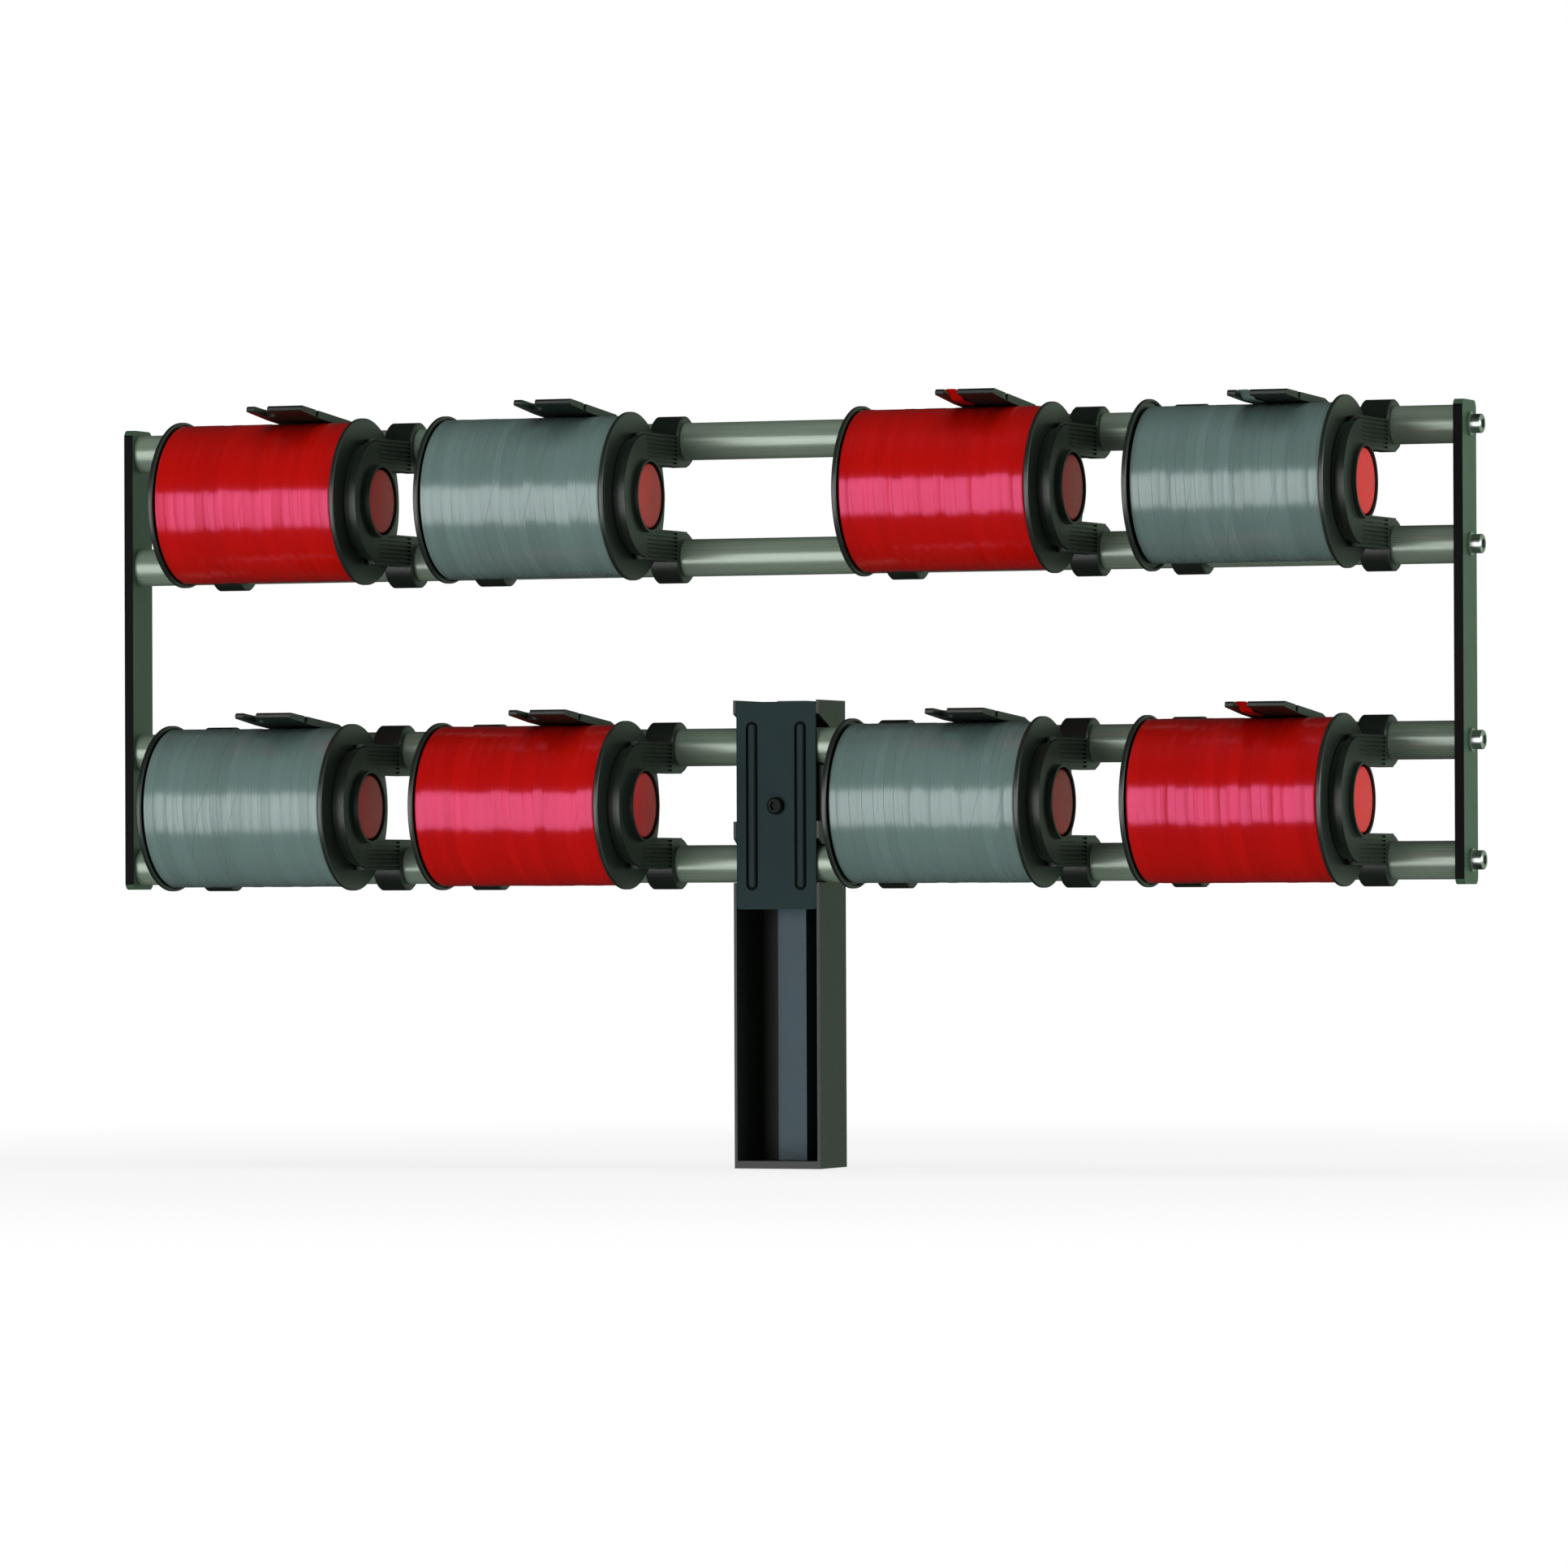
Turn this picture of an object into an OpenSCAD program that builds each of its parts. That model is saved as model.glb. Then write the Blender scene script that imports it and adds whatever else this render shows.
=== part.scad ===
// Wall or counter rack for rolls of curling ribbon: two pairs of horizontal tubes between
// two end plates, held by a post, with eight clip-on spool holders. Each holder has a
// spindle for one spool, a release button in its side disc and a hinged cutter arm.
// Millimetres. X runs along the tubes, Y away from the front, Z up. The origin is the
// centre of the post's foot.

/* [Rack] */
// Outside diameter of the four tubes
tube_d = 20; // [18:0.5:22]
// Wall thickness of the tubes
tube_wall = 1.5; // [1:0.1:2.5]
// Length of the tubes between the end plates
tube_length = 748; // [735:1:900]
// Distance between the two tubes of a pair
pair_spacing = 62; // [60:0.5:66]
// Distance between the upper and the lower pair of tubes
row_pitch = 163; // [155:1:200]
// Height of the lower pair's middle above the foot
lower_row_z = 192.5; // [170:0.5:260]
// How far the tube axes lie in front of the post's middle
tube_forward = 8.3; // [6:0.1:9]

/* [End plates] */
// Thickness of an end plate
plate_t = 5; // [3:0.5:8]
// Depth of an end plate from front to back
plate_depth = 25; // [20:0.5:32]
// Height of an end plate
plate_height = 250; // [246:1:300]
// Corner radius of an end plate
plate_corner = 4; // [1:0.5:8]
// Shank diameter of the end screws
end_screw_d = 6; // [5:0.5:8]
// Head diameter of the end screws
end_head_d = 10; // [9:0.5:13]
// Height of a socket head on the right end
socket_head_h = 6; // [4:0.5:8]
// Height of a domed head on the left end
dome_head_h = 3.6; // [2:0.2:5]
// Thickness of the washers under the end screws
washer_t = 1.4; // [1:0.1:2]
// Diameter of the washers under the end screws
washer_d = 12; // [11:0.5:15]
// Length of a tube plug
plug_length = 24; // [15:1:40]

/* [Post] */
// Width of the post across its side walls
post_w = 48.5; // [46:0.5:60]
// Depth of the post from front to back
post_depth = 40; // [38:0.5:50]
// Sheet thickness of the post
post_t = 1.6; // [1.2:0.1:2.5]
// Height of the post's top above the lower pair's middle
post_above = 55.5; // [52:0.5:70]
// Height of the full-depth lug at the top of each side wall
top_lug_h = 7.2; // [4:0.2:8]
// Depth of the sloped lead-in of the upper tube seat
lead_in_depth = 17.6; // [12:0.2:19]
// How far the wall between the two seats stands back from the front
mid_wall_back = 4.7; // [3:0.1:7]
// Top of the small lug above the lower tube, below the pair's middle
low_lug_top = 8.7; // [6:0.1:12]
// Height of that small lug
low_lug_h = 9; // [6:0.1:10]
// Width of the rail inside the post
rail_w = 16; // [12:0.5:20]
// Distance from the post's front to the rail's face
rail_setback = 23; // [22.2:0.1:28]
// Sheet thickness of the rail
rail_t = 1.5; // [1:0.1:2.5]
// Thickness of the foot plate that closes the post's lower end
foot_t = 4; // [3:0.5:8]
// Distance between the two holes in the foot plate
foot_hole_pitch = 28; // [27:0.5:30]
// Diameter of the holes in the foot plate
foot_hole_d = 6.6; // [5.5:0.1:7]

/* [Clamp plate] */
// Sheet thickness of the clamp plate
clamp_t = 1.6; // [1.2:0.1:2.2]
// Height of the clamp plate
clamp_h = 109.5; // [104:0.5:112]
// How far the clamp plate's middle lies below the pair's middle
clamp_drop = 0.5; // [0:0.1:2]
// Corner radius of the clamp plate
clamp_corner = 1.5; // [0.5:0.1:4]
// Depth of the clamp plate's side flanges
clamp_flange = 4.7; // [3:0.1:6]
// Width of each pressed bead
bead_w = 6.7; // [4:0.1:9]
// Length of each pressed bead
bead_h = 89.4; // [60:0.5:96]
// How far the beads stand out from the clamp plate
bead_out = 0.5; // [0.3:0.1:1.5]
// Width of the sunk channel round each bead
bead_channel = 1.2; // [0.8:0.1:1.8]
// Depth of that channel
bead_sunk = 1; // [0.5:0.1:1.1]
// Distance between the middles of the two beads
bead_pitch = 27.5; // [22:0.5:32]
// Head diameter of the clamp screw
clamp_head_d = 9; // [8:0.5:12]
// Head height of the clamp screw
clamp_head_h = 3.2; // [2:0.2:5]
// Shank diameter of the clamp screw
clamp_screw_d = 5; // [4:0.5:6]
// Radius of the threaded boss behind the rail's face
boss_r = 4.6; // [4:0.1:5.5]
// Length of the threaded boss behind the rail's face
boss_length = 6; // [4:0.5:10]

/* [Holder places] */
// Right end of the first upper spool from the rack's middle, as a share of the tube length
upper_place_1 = -0.2905; // [-0.2925:0.0001:-0.2885]
// Right end of the second upper spool from the rack's middle, as a share of the tube length
upper_place_2 = -0.0848; // [-0.0868:0.0001:-0.0828]
// Right end of the third upper spool from the rack's middle, as a share of the tube length
upper_place_3 = 0.2302; // [0.2282:0.0001:0.2322]
// Right end of the fourth upper spool from the rack's middle, as a share of the tube length
upper_place_4 = 0.4421; // [0.4401:0.0001:0.4441]
// Right end of the first lower spool from the rack's middle, as a share of the tube length
lower_place_1 = -0.3001; // [-0.3021:0.0001:-0.2981]
// Right end of the second lower spool from the rack's middle, as a share of the tube length
lower_place_2 = -0.0896; // [-0.0916:0.0001:-0.0876]
// Right end of the third lower spool from the rack's middle, as a share of the tube length
lower_place_3 = 0.2218; // [0.2198:0.0001:0.2238]
// Right end of the fourth lower spool from the rack's middle, as a share of the tube length
lower_place_4 = 0.4393; // [0.4373:0.0001:0.4413]

/* [Spool] */
// Radius of the spool's flanges
flange_r = 44.5; // [43.5:0.1:46]
// Length of the spool over both flanges
spool_length = 108; // [100:0.5:112]
// Thickness of a flange
flange_t = 1.6; // [1.2:0.1:3]
// Thickness of the bead round a flange's rim
rim_t = 2.6; // [1.8:0.1:4]
// Radial width of that bead
rim_w = 1.8; // [1:0.1:3]
// Outside radius of the spool's core
core_r = 19; // [17.5:0.1:22]
// Radius of the spool's bore
core_bore_r = 17; // [15.8:0.1:17.2]
// Number of windows in a flange
flange_windows = 6; // [3:1:8]
// Radius of a window in a flange
window_r = 4; // [2:0.1:5]
// Radius of the circle that the windows lie on
window_circle_r = 26; // [24.5:0.1:27]
// Radius of a full ribbon pack
ribbon_r = 42.5; // [30:0.1:42.6]
// How much of that radius is used up on the fourth upper spool
ribbon_used_4 = 1.8; // [0:0.1:6]
// How much of that radius is used up on the third lower spool
ribbon_used_7 = 0.7; // [0:0.1:6]
// Gap between the ribbon pack and each flange
ribbon_gap = 0.5; // [0.3:0.1:2]
// Radius of the ribbon pack's outer corners
ribbon_round = 0.9; // [0.4:0.1:2]
// How far the spool axis lies in front of the tubes
spool_forward = 54; // [53:0.1:58]

/* [Holder] */
// Radius of the side disc
disc_r = 32.2; // [30:0.1:34]
// Distance from the spool to the disc's outer face
disc_x = 7.4; // [7:0.1:9]
// Thickness of the disc's outer step
disc_step = 3.5; // [2:0.1:4]
// How much smaller the disc's inner step is
disc_inset = 1.6; // [0.8:0.1:3]
// Wall between the spool and the button's recess
hub_floor = 2; // [1.5:0.1:2.5]
// Radius of the spindle's bore
spindle_bore_r = 14.6; // [13:0.1:15]
// Number of snap fingers at the spindle's end
spindle_fingers = 4; // [3:1:6]
// Length of the slots between the snap fingers
finger_slot_l = 26; // [15:1:40]
// Width of the slots between the snap fingers
finger_slot_w = 3; // [1.5:0.1:5]
// How far the snap lip reaches over the spool's core
lip_h = 0.9; // [0.5:0.1:1.5]
// Length of the snap lip
lip_l = 3; // [2:0.1:5]
// Lower edge of the arms, from the spool's middle
arm_low = 17.1; // [16:0.1:19]
// Upper edge of the arms, from the spool's middle
arm_high = 33.6; // [32:0.1:35]
// How far the arms start in front of the spool axis
arm_start = 6; // [2:0.5:10]
// Distance behind the spool axis at which the arms flare
arm_kink = 13; // [8:0.5:20]
// Number of grooves in each arm
groove_n = 7; // [4:1:9]
// Width of a groove in the arms
groove_w = 1.1; // [0.6:0.1:1.3]
// Depth of a groove in the arms
groove_depth = 1; // [0.3:0.1:1.2]
// Outside radius of the tube clips
clip_r = 13.5; // [12.8:0.1:14.5]
// Distance from the spool's right end to the right clips' outer face
clip_right = 8.8; // [8:0.1:10]
// Length of the right clips
clip_right_l = 16.3; // [12:0.1:18]
// Distance from the spool's right end to the left clips' outer face
clip_left = 110.5; // [108:0.5:115]
// Length of the left clips
clip_left_l = 17.5; // [12:0.5:20]
// Chamfer on the clips' end edges
clip_edge = 0.8; // [0.3:0.1:1.5]
// Height of the mouth at the back of the clips
clip_mouth = 15; // [12:0.5:17]
// Wall of the web and the saddles behind the spool
web_t = 3; // [2:0.1:3.4]
// How far the saddles reach past the tube axis, away from the spool's middle
saddle_reach = 3; // [0:0.5:6]
// Height of the window in the web
web_window_h = 16; // [8:0.5:22]
// Width of one window in the web
web_window_w = 30; // [15:0.5:34]
// Distance between the middles of the two windows in the web
web_window_pitch = 40; // [36:0.5:44]
// Thickness of the hinge ears
ear_t = 3; // [2:0.1:4]

/* [Button] */
// Radius of the button
button_r = 17.2; // [15.5:0.1:17.4]
// Radial gap round the button
button_gap = 0.9; // [0.6:0.1:1.6]
// Wall behind the button's recess
recess_wall = 2; // [1.2:0.1:2.4]
// Height of the collar round the button, above the disc
collar_h = 2.5; // [1:0.1:3]
// Wall of that collar
collar_wall = 1.2; // [0.8:0.1:2]
// How far the button's edge stands out of the disc
button_proud = 1.6; // [0:0.1:3]
// How far the button's middle stands above its edge
button_dome = 0.5; // [0.2:0.1:1]
// Wall of the button's cap
button_wall = 1.4; // [1:0.1:1.8]
// Travel of the button
button_travel = 3; // [2:0.1:3.1]
// Radius of the button's stem
stem_r = 8; // [6:0.1:9]
// Length of the sleeve that guides the stem
sleeve_l = 12; // [8:0.5:20]
// Wall of that sleeve
sleeve_wall = 2; // [1.5:0.1:3]
// How far the stem's snap lip reaches behind the sleeve
stem_lip = 1; // [0.5:0.1:1.4]

/* [Cutter arm] */
// Width of the cutter arm
cutter_w = 32; // [28:0.5:36]
// Distance from the spool's right end to the cutter arm
cutter_side = 20.5; // [18:0.5:30]
// Length from the hinge to the front edge
cutter_length = 73.2; // [66:0.2:78]
// Height of the arm's top above the hinge, square to the arm
cutter_top = 5.6; // [5:0.1:7]
// Thickness of the arm where it rests on the ribbon
cutter_t = 4; // [3.4:0.1:4.6]
// Thickness of the arm at its front edge
cutter_front_t = 3; // [2:0.1:3.4]
// Length of the tapered front
cutter_taper = 28; // [18:0.5:34]
// Bevel on the front edge
cutter_bevel = 1.1; // [0.5:0.1:1.5]
// Width of the finger beside the slot
finger_w = 4.5; // [3:0.1:6]
// Width of the slot
slot_w = 7.5; // [6:0.1:9]
// Depth of the slot
slot_l = 17; // [12:0.5:22]
// Distance from the front edge to the notch in the side
notch_at = 19; // [14:0.5:26]
// Length of that notch
notch_l = 3.4; // [2:0.1:5]
// Depth of that notch
notch_w = 1.5; // [0.8:0.1:2.5]
// How far the hinge lies behind the spool axis
hinge_back = 34; // [32:0.1:36]
// Height of the hinge above the spool axis
hinge_up = 38.5; // [37.5:0.1:41]
// Radius of the hinge barrel
barrel_r = 3.8; // [3.2:0.1:4.2]
// Radius of the hinge trunnions
trunnion_r = 2.2; // [1.6:0.1:2.4]
// Thickness of the steel blade
blade_t = 0.7; // [0.5:0.1:1]
// Depth of the blade from its edge to its back
blade_l = 9; // [7:0.5:12]
// How far the blade shows in the slot
blade_show = 3; // [2:0.1:4]
// How far the blade reaches into the arm on each side of the slot
blade_side = 3; // [1.5:0.1:3.4]

/* [Hidden] */
$fn = 96;
eps = 0.01;

// Clearances
fixed_clear = 0.05;
run_clear = 0.08;
seat_clear = 0.15;
side_clear = 0.2;
rest_clear = 0.3;

// Rack values
tube_r = tube_d / 2;
tube_bore_r = tube_r - tube_wall;
half_pair = pair_spacing / 2;
half_length = tube_length / 2;
upper_row_z = lower_row_z + row_pitch;
rack_mid_z = (lower_row_z + upper_row_z) / 2;
tube_y = -tube_forward;
spool_y = tube_y - spool_forward;
plug_floor = 4;
plug_lead = 2;
plug_screw_depth = plug_length - plug_floor;
head_edge = 0.7;
socket_share = 0.95;

// Post values
post_front = -post_depth / 2;
post_back = post_depth / 2;
post_half = post_w / 2;
post_top = lower_row_z + post_above;
seat_r = tube_r + seat_clear;
rail_face = post_front + rail_setback;
clamp_mid = lower_row_z - clamp_drop;
clamp_w = post_w - 2 * post_t - 2 * side_clear;
clamp_back = post_front + clamp_t;
bead_rise_w = bead_w - 2 * bead_channel;
bead_steps = 3;
bead_step = bead_rise_w / 10;
foot_hole_r = foot_hole_d / 2;
clamp_screw_r = clamp_screw_d / 2;
socket_r = clamp_screw_r;
boss_root_r = boss_r - 1;
clamp_head_edge = 0.9;

// Unit values
units = [1 : 8];
per_row = 4;
unit_places = [
    upper_place_1, upper_place_2, upper_place_3, upper_place_4,
    lower_place_1, lower_place_2, lower_place_3, lower_place_4
];
red = "#9c0d14";
grey = "#8b9791";
ribbon_colors = [red, grey, red, grey, grey, red, grey, red];
function unit_z(i) = i > per_row ? lower_row_z : upper_row_z;
function pack_r(i) = ribbon_r - (i == 4 ? ribbon_used_4 : i == 7 ? ribbon_used_7 : 0);

// Spool and spindle values
spindle_r = core_bore_r - run_clear;
hub_x = rest_clear;
recess_floor = hub_x + hub_floor;
web_window_corner = 3;
recess_r = button_r + button_gap;
boss_back_r = recess_r + recess_wall;
disc_inner_r = disc_r - disc_inset;
spindle_end = -spool_length - rest_clear;
rim_edge = 0.5;
sleeve_end = recess_floor - sleeve_l;
sleeve_bore_r = stem_r + run_clear;
sleeve_r = sleeve_bore_r + sleeve_wall;
button_edge = 1;
stem_lip_l = 3;
stem_land = 0.8;
stem_slot = 2;

// Cutter arm values: the arm lies on the ribbon pack, so its slope follows the pack's radius
hinge_reach = norm([hinge_back, hinge_up]);
hinge_angle = atan2(hinge_back, hinge_up);
cutter_under = cutter_top - cutter_t;
function cutter_tilt(i) = hinge_angle - acos((pack_r(i) + rest_clear - cutter_under) / hinge_reach);
cutter_right = -cutter_side;
cutter_left = cutter_right - cutter_w;
slot_left = cutter_left + finger_w;
slot_end = slot_l - cutter_length;
blade_front = slot_end - blade_show;
root_top = 2.2 * barrel_r;
root_low = 2 * barrel_r;
barrel_top = barrel_r * [0.5, 0.866];
barrel_low = -barrel_r * [0.6, 0.8];
blade_z = cutter_under + cutter_t / 2;
blade_grind = 1.5;
ear_hole_r = trunnion_r + run_clear;

// ---------- shared shapes ----------

// A cylinder along X from x0 to x1
module xrod(r, x0, x1) {
    translate([x0, 0, 0]) rotate([0, 90, 0]) cylinder(r = r, h = x1 - x0);
}

// A box given by its two opposite corners
module box(low, high) {
    translate(low) cube(high - low);
}

// A shape drawn in the Y-Z plane and extruded along X from x0 to x1
module across(x0, x1) {
    translate([x0, 0, 0]) rotate([90, 0, 90]) linear_extrude(x1 - x0) children();
}

// A profile of [radius, x] points turned about the X axis
module turned() {
    rotate([0, 90, 0]) rotate_extrude() children();
}

// A rectangle with round corners, centred, made of exact arcs
module round_rect(w, h, r) {
    square([w - 2 * r, h], center = true);
    square([w, h - 2 * r], center = true);
    for (x = [-1, 1], y = [-1, 1])
        translate([x * (w / 2 - r), y * (h / 2 - r)]) circle(r);
}

// An upright bar with half-round ends, centred
module stadium(w, h) {
    square([w, h - w], center = true);
    for (y = [-1, 1]) translate([0, y * (h - w) / 2]) circle(w / 2);
}

// Places its children at the four tube ends of one side
module at_tube_ends(side) {
    for (z = [lower_row_z, upper_row_z], s = [-1, 1])
        translate([side * half_length, tube_y, z + s * half_pair]) children();
}

// Places its children at a holder's spool, with X = 0 at the spool's right end
module at_unit(i) {
    translate([unit_places[i - 1] * tube_length, spool_y, unit_z(i)]) children();
}

// Places its children at a holder's hinge, tilted with the cutter arm
module at_hinge(i) {
    at_unit(i) translate([0, hinge_back, hinge_up]) rotate([-cutter_tilt(i), 0, 0]) children();
}

// ---------- rack ----------

// A flat steel bar that ties the tubes' ends together
module end_plate(side) {
    color("#3a403d") difference() {
        translate([side * (half_length + plate_t / 2), tube_y, rack_mid_z])
            across(-plate_t / 2, plate_t / 2) round_rect(plate_depth, plate_height, plate_corner);
        at_tube_ends(side) xrod(end_screw_d / 2 + side_clear, -plate_t - 1, plate_t + 1);
    }
}

module end_plate_left() end_plate(-1);
module end_plate_right() end_plate(1);

// One satin tube; tubes are counted from the top
module tube(n) {
    z = (n > 2 ? lower_row_z : upper_row_z) + (n % 2 == 1 ? half_pair : -half_pair);
    color("#9aa39e") translate([0, tube_y, z]) difference() {
        xrod(tube_r, -half_length, half_length);
        xrod(tube_bore_r, -half_length - 1, half_length + 1);
    }
}

// Plugs in the tubes' ends, which take the end screws
module tube_plugs() {
    color("#1c1f1e") for (side = [-1, 1])
        at_tube_ends(side) mirror([side > 0 ? 1 : 0, 0, 0]) difference() {
            turned() polygon([
                [0, 0], [tube_bore_r - fixed_clear, 0],
                [tube_bore_r - fixed_clear, plug_length - plug_lead], [tube_bore_r - plug_lead, plug_length],
                [0, plug_length]
            ]);
            xrod(end_screw_d / 2 + fixed_clear, -1, plug_screw_depth + 1);
        }
}

// Screws and washers: socket heads on the right end plate, domed heads on the left
module end_screws() {
    shank_r = end_screw_d / 2;
    head_r = end_head_d / 2;
    head_top = washer_t + socket_head_h;
    color("#8d9490") {
        at_tube_ends(1) {
            xrod(shank_r, -plug_screw_depth, plate_t + eps);
            translate([plate_t, 0, 0]) difference() {
                union() {
                    xrod(washer_d / 2, 0, washer_t);
                    turned() polygon([
                        [0, washer_t - eps], [head_r, washer_t - eps], [head_r, head_top - head_edge],
                        [head_r - head_edge, head_top], [0, head_top]
                    ]);
                }
                translate([washer_t + socket_head_h / 2, 0, 0]) rotate([0, 90, 0])
                    cylinder(r = shank_r * socket_share, h = socket_head_h, $fn = 6);
            }
        }
        at_tube_ends(-1) {
            xrod(shank_r, -plate_t - eps, plug_screw_depth);
            translate([-plate_t, 0, 0]) {
                xrod(washer_d / 2, -washer_t, 0);
                dome_r = (head_r * head_r + dome_head_h * dome_head_h) / (2 * dome_head_h);
                translate([-washer_t, 0, 0]) intersection() {
                    translate([dome_r - dome_head_h, 0, 0]) sphere(dome_r);
                    xrod(head_r, -dome_head_h - 1, eps);
                }
            }
        }
    }
}

// Side wall of the post with its two tube seats; y runs back from the post's front
module post_wall_outline() {
    z_up = half_pair;
    seat_back = -post_front + tube_y;
    lug_low = post_above - top_lug_h;
    difference() {
        translate([0, -lower_row_z]) square([post_depth, post_top]);
        // upper seat with its sloped lead-in
        polygon([
            [-1, z_up - tube_r], [seat_back, z_up - tube_r - seat_clear],
            [seat_back, z_up + seat_r], [lead_in_depth, z_up + seat_r], [0, lug_low], [-1, lug_low]
        ]);
        translate([seat_back, z_up]) circle(seat_r);
        // wall between the seats
        translate([-1, -low_lug_top]) square([mid_wall_back + 1, z_up + low_lug_top - tube_r + eps]);
        // lower seat
        polygon([
            [-1, -low_lug_top - low_lug_h], [0, -low_lug_top - low_lug_h],
            [mid_wall_back, -z_up + seat_r], [seat_back, -z_up + seat_r],
            [seat_back, -z_up - seat_r], [-1, -z_up - seat_r]
        ]);
        translate([seat_back, -z_up]) circle(seat_r);
    }
}

// The post: an open channel with notched side walls and a foot plate
module post() {
    color("#20262a") {
        for (x = [-post_half, post_half - post_t])
            translate([0, post_front, lower_row_z]) across(x, x + post_t) post_wall_outline();
        box([-post_half, post_back - post_t, 0], [post_half, post_back, post_top]);
        difference() {
            box([-post_half, post_front, 0], [post_half, post_back, foot_t]);
            for (s = [-1, 1]) translate([s * foot_hole_pitch / 2, 0, -1])
                cylinder(r = foot_hole_r, h = foot_t + 2);
        }
    }
}

// The rail up the middle of the post, with a threaded boss for the clamp screw
module post_rail() {
    back = post_back - post_t;
    color("#4a6268") {
        difference() {
            box([-rail_w / 2, rail_face, foot_t], [rail_w / 2, back, post_top]);
            box([-rail_w / 2 + rail_t, rail_face + rail_t, foot_t - 1],
                [rail_w / 2 - rail_t, back + 1, post_top + 1]);
            translate([0, rail_face - 1, clamp_mid]) rotate([-90, 0, 0])
                cylinder(r = boss_root_r, h = rail_t + 2);
        }
        translate([0, rail_face, clamp_mid]) rotate([-90, 0, 0]) difference() {
            cylinder(r = boss_r, h = rail_t + boss_length);
            translate([0, 0, -1]) cylinder(r = clamp_screw_r + fixed_clear, h = rail_t + boss_length + 2);
        }
    }
}

// A bead of the clamp plate: a stepped rib that rises from its channel's floor
module bead(w, out) {
    for (k = [0 : bead_steps - 1]) rotate([90, 0, 0])
        linear_extrude((k + 1) * out / bead_steps)
            stadium(w - 2 * k * bead_step, bead_h - 2 * (bead_channel + k * bead_step));
}

// The pressed plate that holds the lower tubes in their seats
module clamp_plate() {
    flange_low = clamp_mid - low_lug_top + side_clear;
    flange_high = lower_row_z + half_pair - tube_r - 1;
    floor_y = post_front + bead_sunk;
    color("#3f5259") difference() {
        union() {
            difference() {
                translate([0, clamp_back, clamp_mid]) rotate([90, 0, 0])
                    linear_extrude(clamp_t) round_rect(clamp_w, clamp_h, clamp_corner);
                for (s = [-1, 1]) translate([s * bead_pitch / 2, floor_y, clamp_mid])
                    rotate([90, 0, 0]) linear_extrude(clamp_t) stadium(bead_w, bead_h);
            }
            for (s = [-1, 1]) translate([s * bead_pitch / 2, floor_y + eps, clamp_mid])
                bead(bead_rise_w, bead_sunk + bead_out);
            for (s = [-1, 1]) {
                x = s > 0 ? clamp_w / 2 - clamp_t : -clamp_w / 2;
                box([x, post_front + eps, flange_low],
                    [x + clamp_t, post_front + clamp_flange + clamp_t, flange_high]);
            }
        }
        translate([0, post_front - 1, clamp_mid]) rotate([-90, 0, 0])
            cylinder(r = clamp_screw_r + side_clear, h = clamp_t + 2);
    }
}

// The screw through the clamp plate into the rail
module clamp_screw() {
    color("#15181a") translate([0, post_front, clamp_mid]) {
        rotate([-90, 0, 0]) cylinder(r = clamp_screw_r, h = rail_setback + rail_t + boss_length);
        difference() {
            rotate([90, 0, 0]) {
                cylinder(r = clamp_head_d / 2, h = clamp_head_h - clamp_head_edge);
                translate([0, 0, clamp_head_h - clamp_head_edge - eps])
                    cylinder(r1 = clamp_head_d / 2, r2 = clamp_head_d / 2 - clamp_head_edge,
                        h = clamp_head_edge + eps);
            }
            translate([0, -clamp_head_h / 2, 0]) rotate([90, 0, 0])
                cylinder(r = socket_r, h = clamp_head_h, $fn = 6);
        }
    }
}

// ---------- holder ----------

// Outline of the side disc, seen along the spool axis: a disc in front, a boss behind
module disc_outline(r) {
    intersection() {
        circle(r);
        translate([-2 * r, -2 * r]) square([2 * r, 4 * r]);
    }
    circle(boss_back_r);
}

// The disc with the button's recess, the sleeve, the spindle and its snap fingers
module hub() {
    tip = spindle_end - lip_l;
    difference() {
        union() {
            across(disc_x - disc_step, disc_x) disc_outline(disc_r);
            across(hub_x, disc_x - disc_step + eps) disc_outline(disc_inner_r);
            xrod(recess_r + collar_wall, disc_x - eps, disc_x + collar_h);
            xrod(spindle_r, spindle_end, hub_x + eps);
            turned() polygon([
                [0, tip], [spindle_r - 2 * lip_h, tip], [spindle_r + lip_h, spindle_end - eps],
                [spindle_r + lip_h, spindle_end], [0, spindle_end + eps]
            ]);
        }
        xrod(recess_r, recess_floor, disc_x + collar_h + 1);
        xrod(spindle_bore_r, tip - 1, hub_x);
        xrod(sleeve_bore_r, hub_x - 1, recess_floor + 1);
        for (k = [0 : spindle_fingers - 1]) rotate([k * 360 / spindle_fingers, 0, 0])
            box([tip - 1, 0, -finger_slot_w / 2],
                [tip + finger_slot_l, spindle_r + lip_h + 1, finger_slot_w / 2]);
    }
    difference() {
        xrod(sleeve_r, sleeve_end, recess_floor);
        xrod(sleeve_bore_r, sleeve_end - 1, recess_floor + 1);
    }
}

// Profile of an arm from above: [x, y] points from the disc back to the clip
module arm_profile(cut) {
    polygon([
        [disc_x - disc_step, -arm_start], [disc_x - cut, -arm_start], [disc_x - cut, arm_kink],
        [clip_right - cut, spool_forward - clip_r], [clip_right - cut, spool_forward],
        [hub_x + rest_clear, spool_forward], [hub_x + rest_clear, 0], [disc_x - disc_step, 0]
    ]);
}

// One grooved arm, above the spool's middle
module arm() {
    land = (arm_high - arm_low - groove_n * groove_w) / (groove_n + 1);
    translate([0, 0, arm_low]) linear_extrude(arm_high - arm_low) arm_profile(groove_depth);
    for (k = [0 : groove_n]) translate([0, 0, arm_low + k * (land + groove_w)])
        linear_extrude(land) arm_profile(0);
    // the arm's root stays smooth where the clip starts
    box([hub_x + rest_clear, spool_forward - clip_r - 1, arm_low],
        [clip_right, spool_forward, arm_high]);
}

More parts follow.
